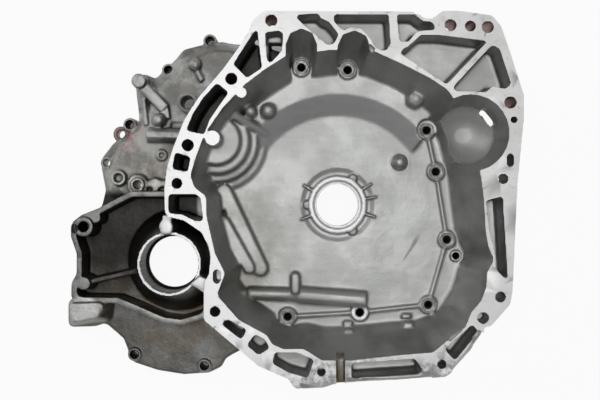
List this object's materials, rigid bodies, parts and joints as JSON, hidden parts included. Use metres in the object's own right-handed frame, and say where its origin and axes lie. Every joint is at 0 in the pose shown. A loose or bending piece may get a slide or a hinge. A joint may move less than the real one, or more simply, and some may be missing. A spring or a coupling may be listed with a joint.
{
  "type": "transmission housing",
  "caption": "Die-cast converter housing of a transverse automatic transaxle, with a bell, engine flange, starter pocket and two bearing bores.",
  "frame": {"origin": "on the converter bore's axis, level with the bell's floor", "axes": "+Z along the bore towards the engine, +Y up on the standing unit, differential at -X"},
  "size_m": [0.532, 0.4233, 0.14],
  "materials": {
    "casting": "cast"
  },
  "bodies": {
    "root": {"housing": "casting"}
  },
  "joints": []
}
